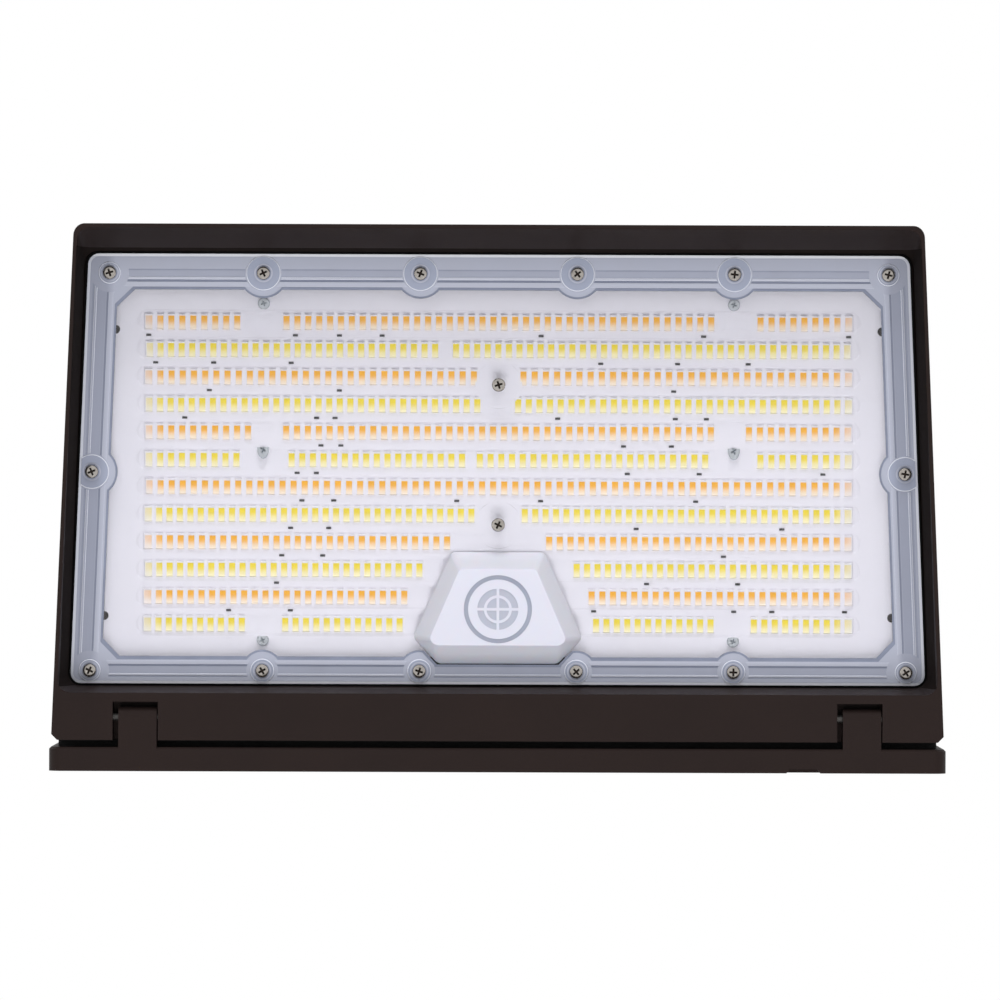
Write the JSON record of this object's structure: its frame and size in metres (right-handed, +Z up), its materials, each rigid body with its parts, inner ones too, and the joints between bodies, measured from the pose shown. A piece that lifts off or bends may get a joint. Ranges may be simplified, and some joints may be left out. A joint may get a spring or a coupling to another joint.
{
  "type": "wall pack light",
  "caption": "Full-cutoff LED wall light: wedge-shaped cast housing with a recessed clear lens over rows of warm and cool LEDs, hinged on a thin back plate.",
  "frame": {"origin": "centre of the back plate's rear face, on the wall", "axes": "+X along the light's width, +Y into the wall, +Z up"},
  "size_m": [0.3564, 0.2174, 0.2],
  "materials": {
    "casting": "fine textured dark bronze powder coat on cast aluminium",
    "lens": "clear moulded polycarbonate, lightly frosted flange",
    "rubber": "matte black silicone",
    "steel": "bright stainless",
    "brass": "green passivated ground screw",
    "board": "white solder mask on aluminium",
    "pad": "soft grey silicone pad",
    "warm_led": "orange phosphor in a white frame",
    "cool_led": "yellow phosphor in a white frame",
    "resistor": "black chip",
    "white_plastic": "white",
    "sensor_board": "white solder mask",
    "driver_metal": "satin extruded",
    "black_plastic": "fine grain",
    "knob": "smooth",
    "terminal": "satin",
    "lead": "black jacket"
  },
  "bodies": {
    "plate": {"back_plate": "casting", "wall_gasket": "rubber", "wire_grommet": "rubber", "ground_screw": "brass", "housing_seal": "rubber"},
    "door": {"hinge_pins": "steel", "housing": "casting", "lens": "lens", "lens_gasket": "rubber", "lens_screws": "steel", "centre_screws": "steel", "led_board": "board", "thermal_pad": "pad", "board_screws": "steel", "board_connector": "white_plastic", "warm_leds": "warm_led", "cool_leds": "cool_led", "board_resistors": "resistor", "sensor_holder": "white_plastic", "sensor_board": "sensor_board", "sensor_element": "white_plastic", "driver_case": "driver_metal", "driver_caps": "black_plastic", "driver_screws": "steel", "power_switch": "black_plastic", "colour_switch": "black_plastic", "surge_protector": "black_plastic", "terminal_block": "terminal", "terminal_screws": "steel", "supply_lead": "lead", "light_lead": "lead"},
    "power_knob": {"power_knob": "knob"},
    "colour_knob": {"colour_knob": "knob"},
    "closing_screw_left": {"closing_screw_left": "steel"},
    "closing_screw_right": {"closing_screw_right": "steel"},
    "closing_washer_left": {"closing_washer_left": "steel"},
    "closing_washer_right": {"closing_washer_right": "steel"}
  },
  "joints": [
    {"name": "hinge", "type": "hinge", "parent": "plate", "child": "door", "pos_m": [0, -0.0215, -0.096], "axis": [1, 0, 0], "range_deg": [0, 90]},
    {"name": "closing_travel_left", "type": "slide", "parent": "door", "child": "closing_washer_left", "axis": [0, -1, 0], "range_m": [0, 0.008]},
    {"name": "closing_turn_left", "type": "hinge", "parent": "closing_washer_left", "child": "closing_screw_left", "pos_m": [-0.12, -0.0563, 0.08], "axis": [0, -1, 0], "range_deg": [0, 3600]},
    {"name": "closing_travel_right", "type": "slide", "parent": "door", "child": "closing_washer_right", "axis": [0, -1, 0], "range_m": [0, 0.008]},
    {"name": "closing_turn_right", "type": "hinge", "parent": "closing_washer_right", "child": "closing_screw_right", "pos_m": [0.12, -0.0563, 0.08], "axis": [0, -1, 0], "range_deg": [0, 3600]},
    {"name": "power_select", "type": "slide", "parent": "door", "child": "power_knob", "axis": [1, 0, 0], "range_m": [-0.004, 0.004]},
    {"name": "colour_select", "type": "slide", "parent": "door", "child": "colour_knob", "axis": [1, 0, 0], "range_m": [-0.004, 0.004]}
  ],
  "couplings": [
    {"joint": "closing_turn_left", "follows": "closing_travel_left", "rad_per_m": 7854},
    {"joint": "closing_turn_right", "follows": "closing_travel_right", "rad_per_m": 7854}
  ]
}
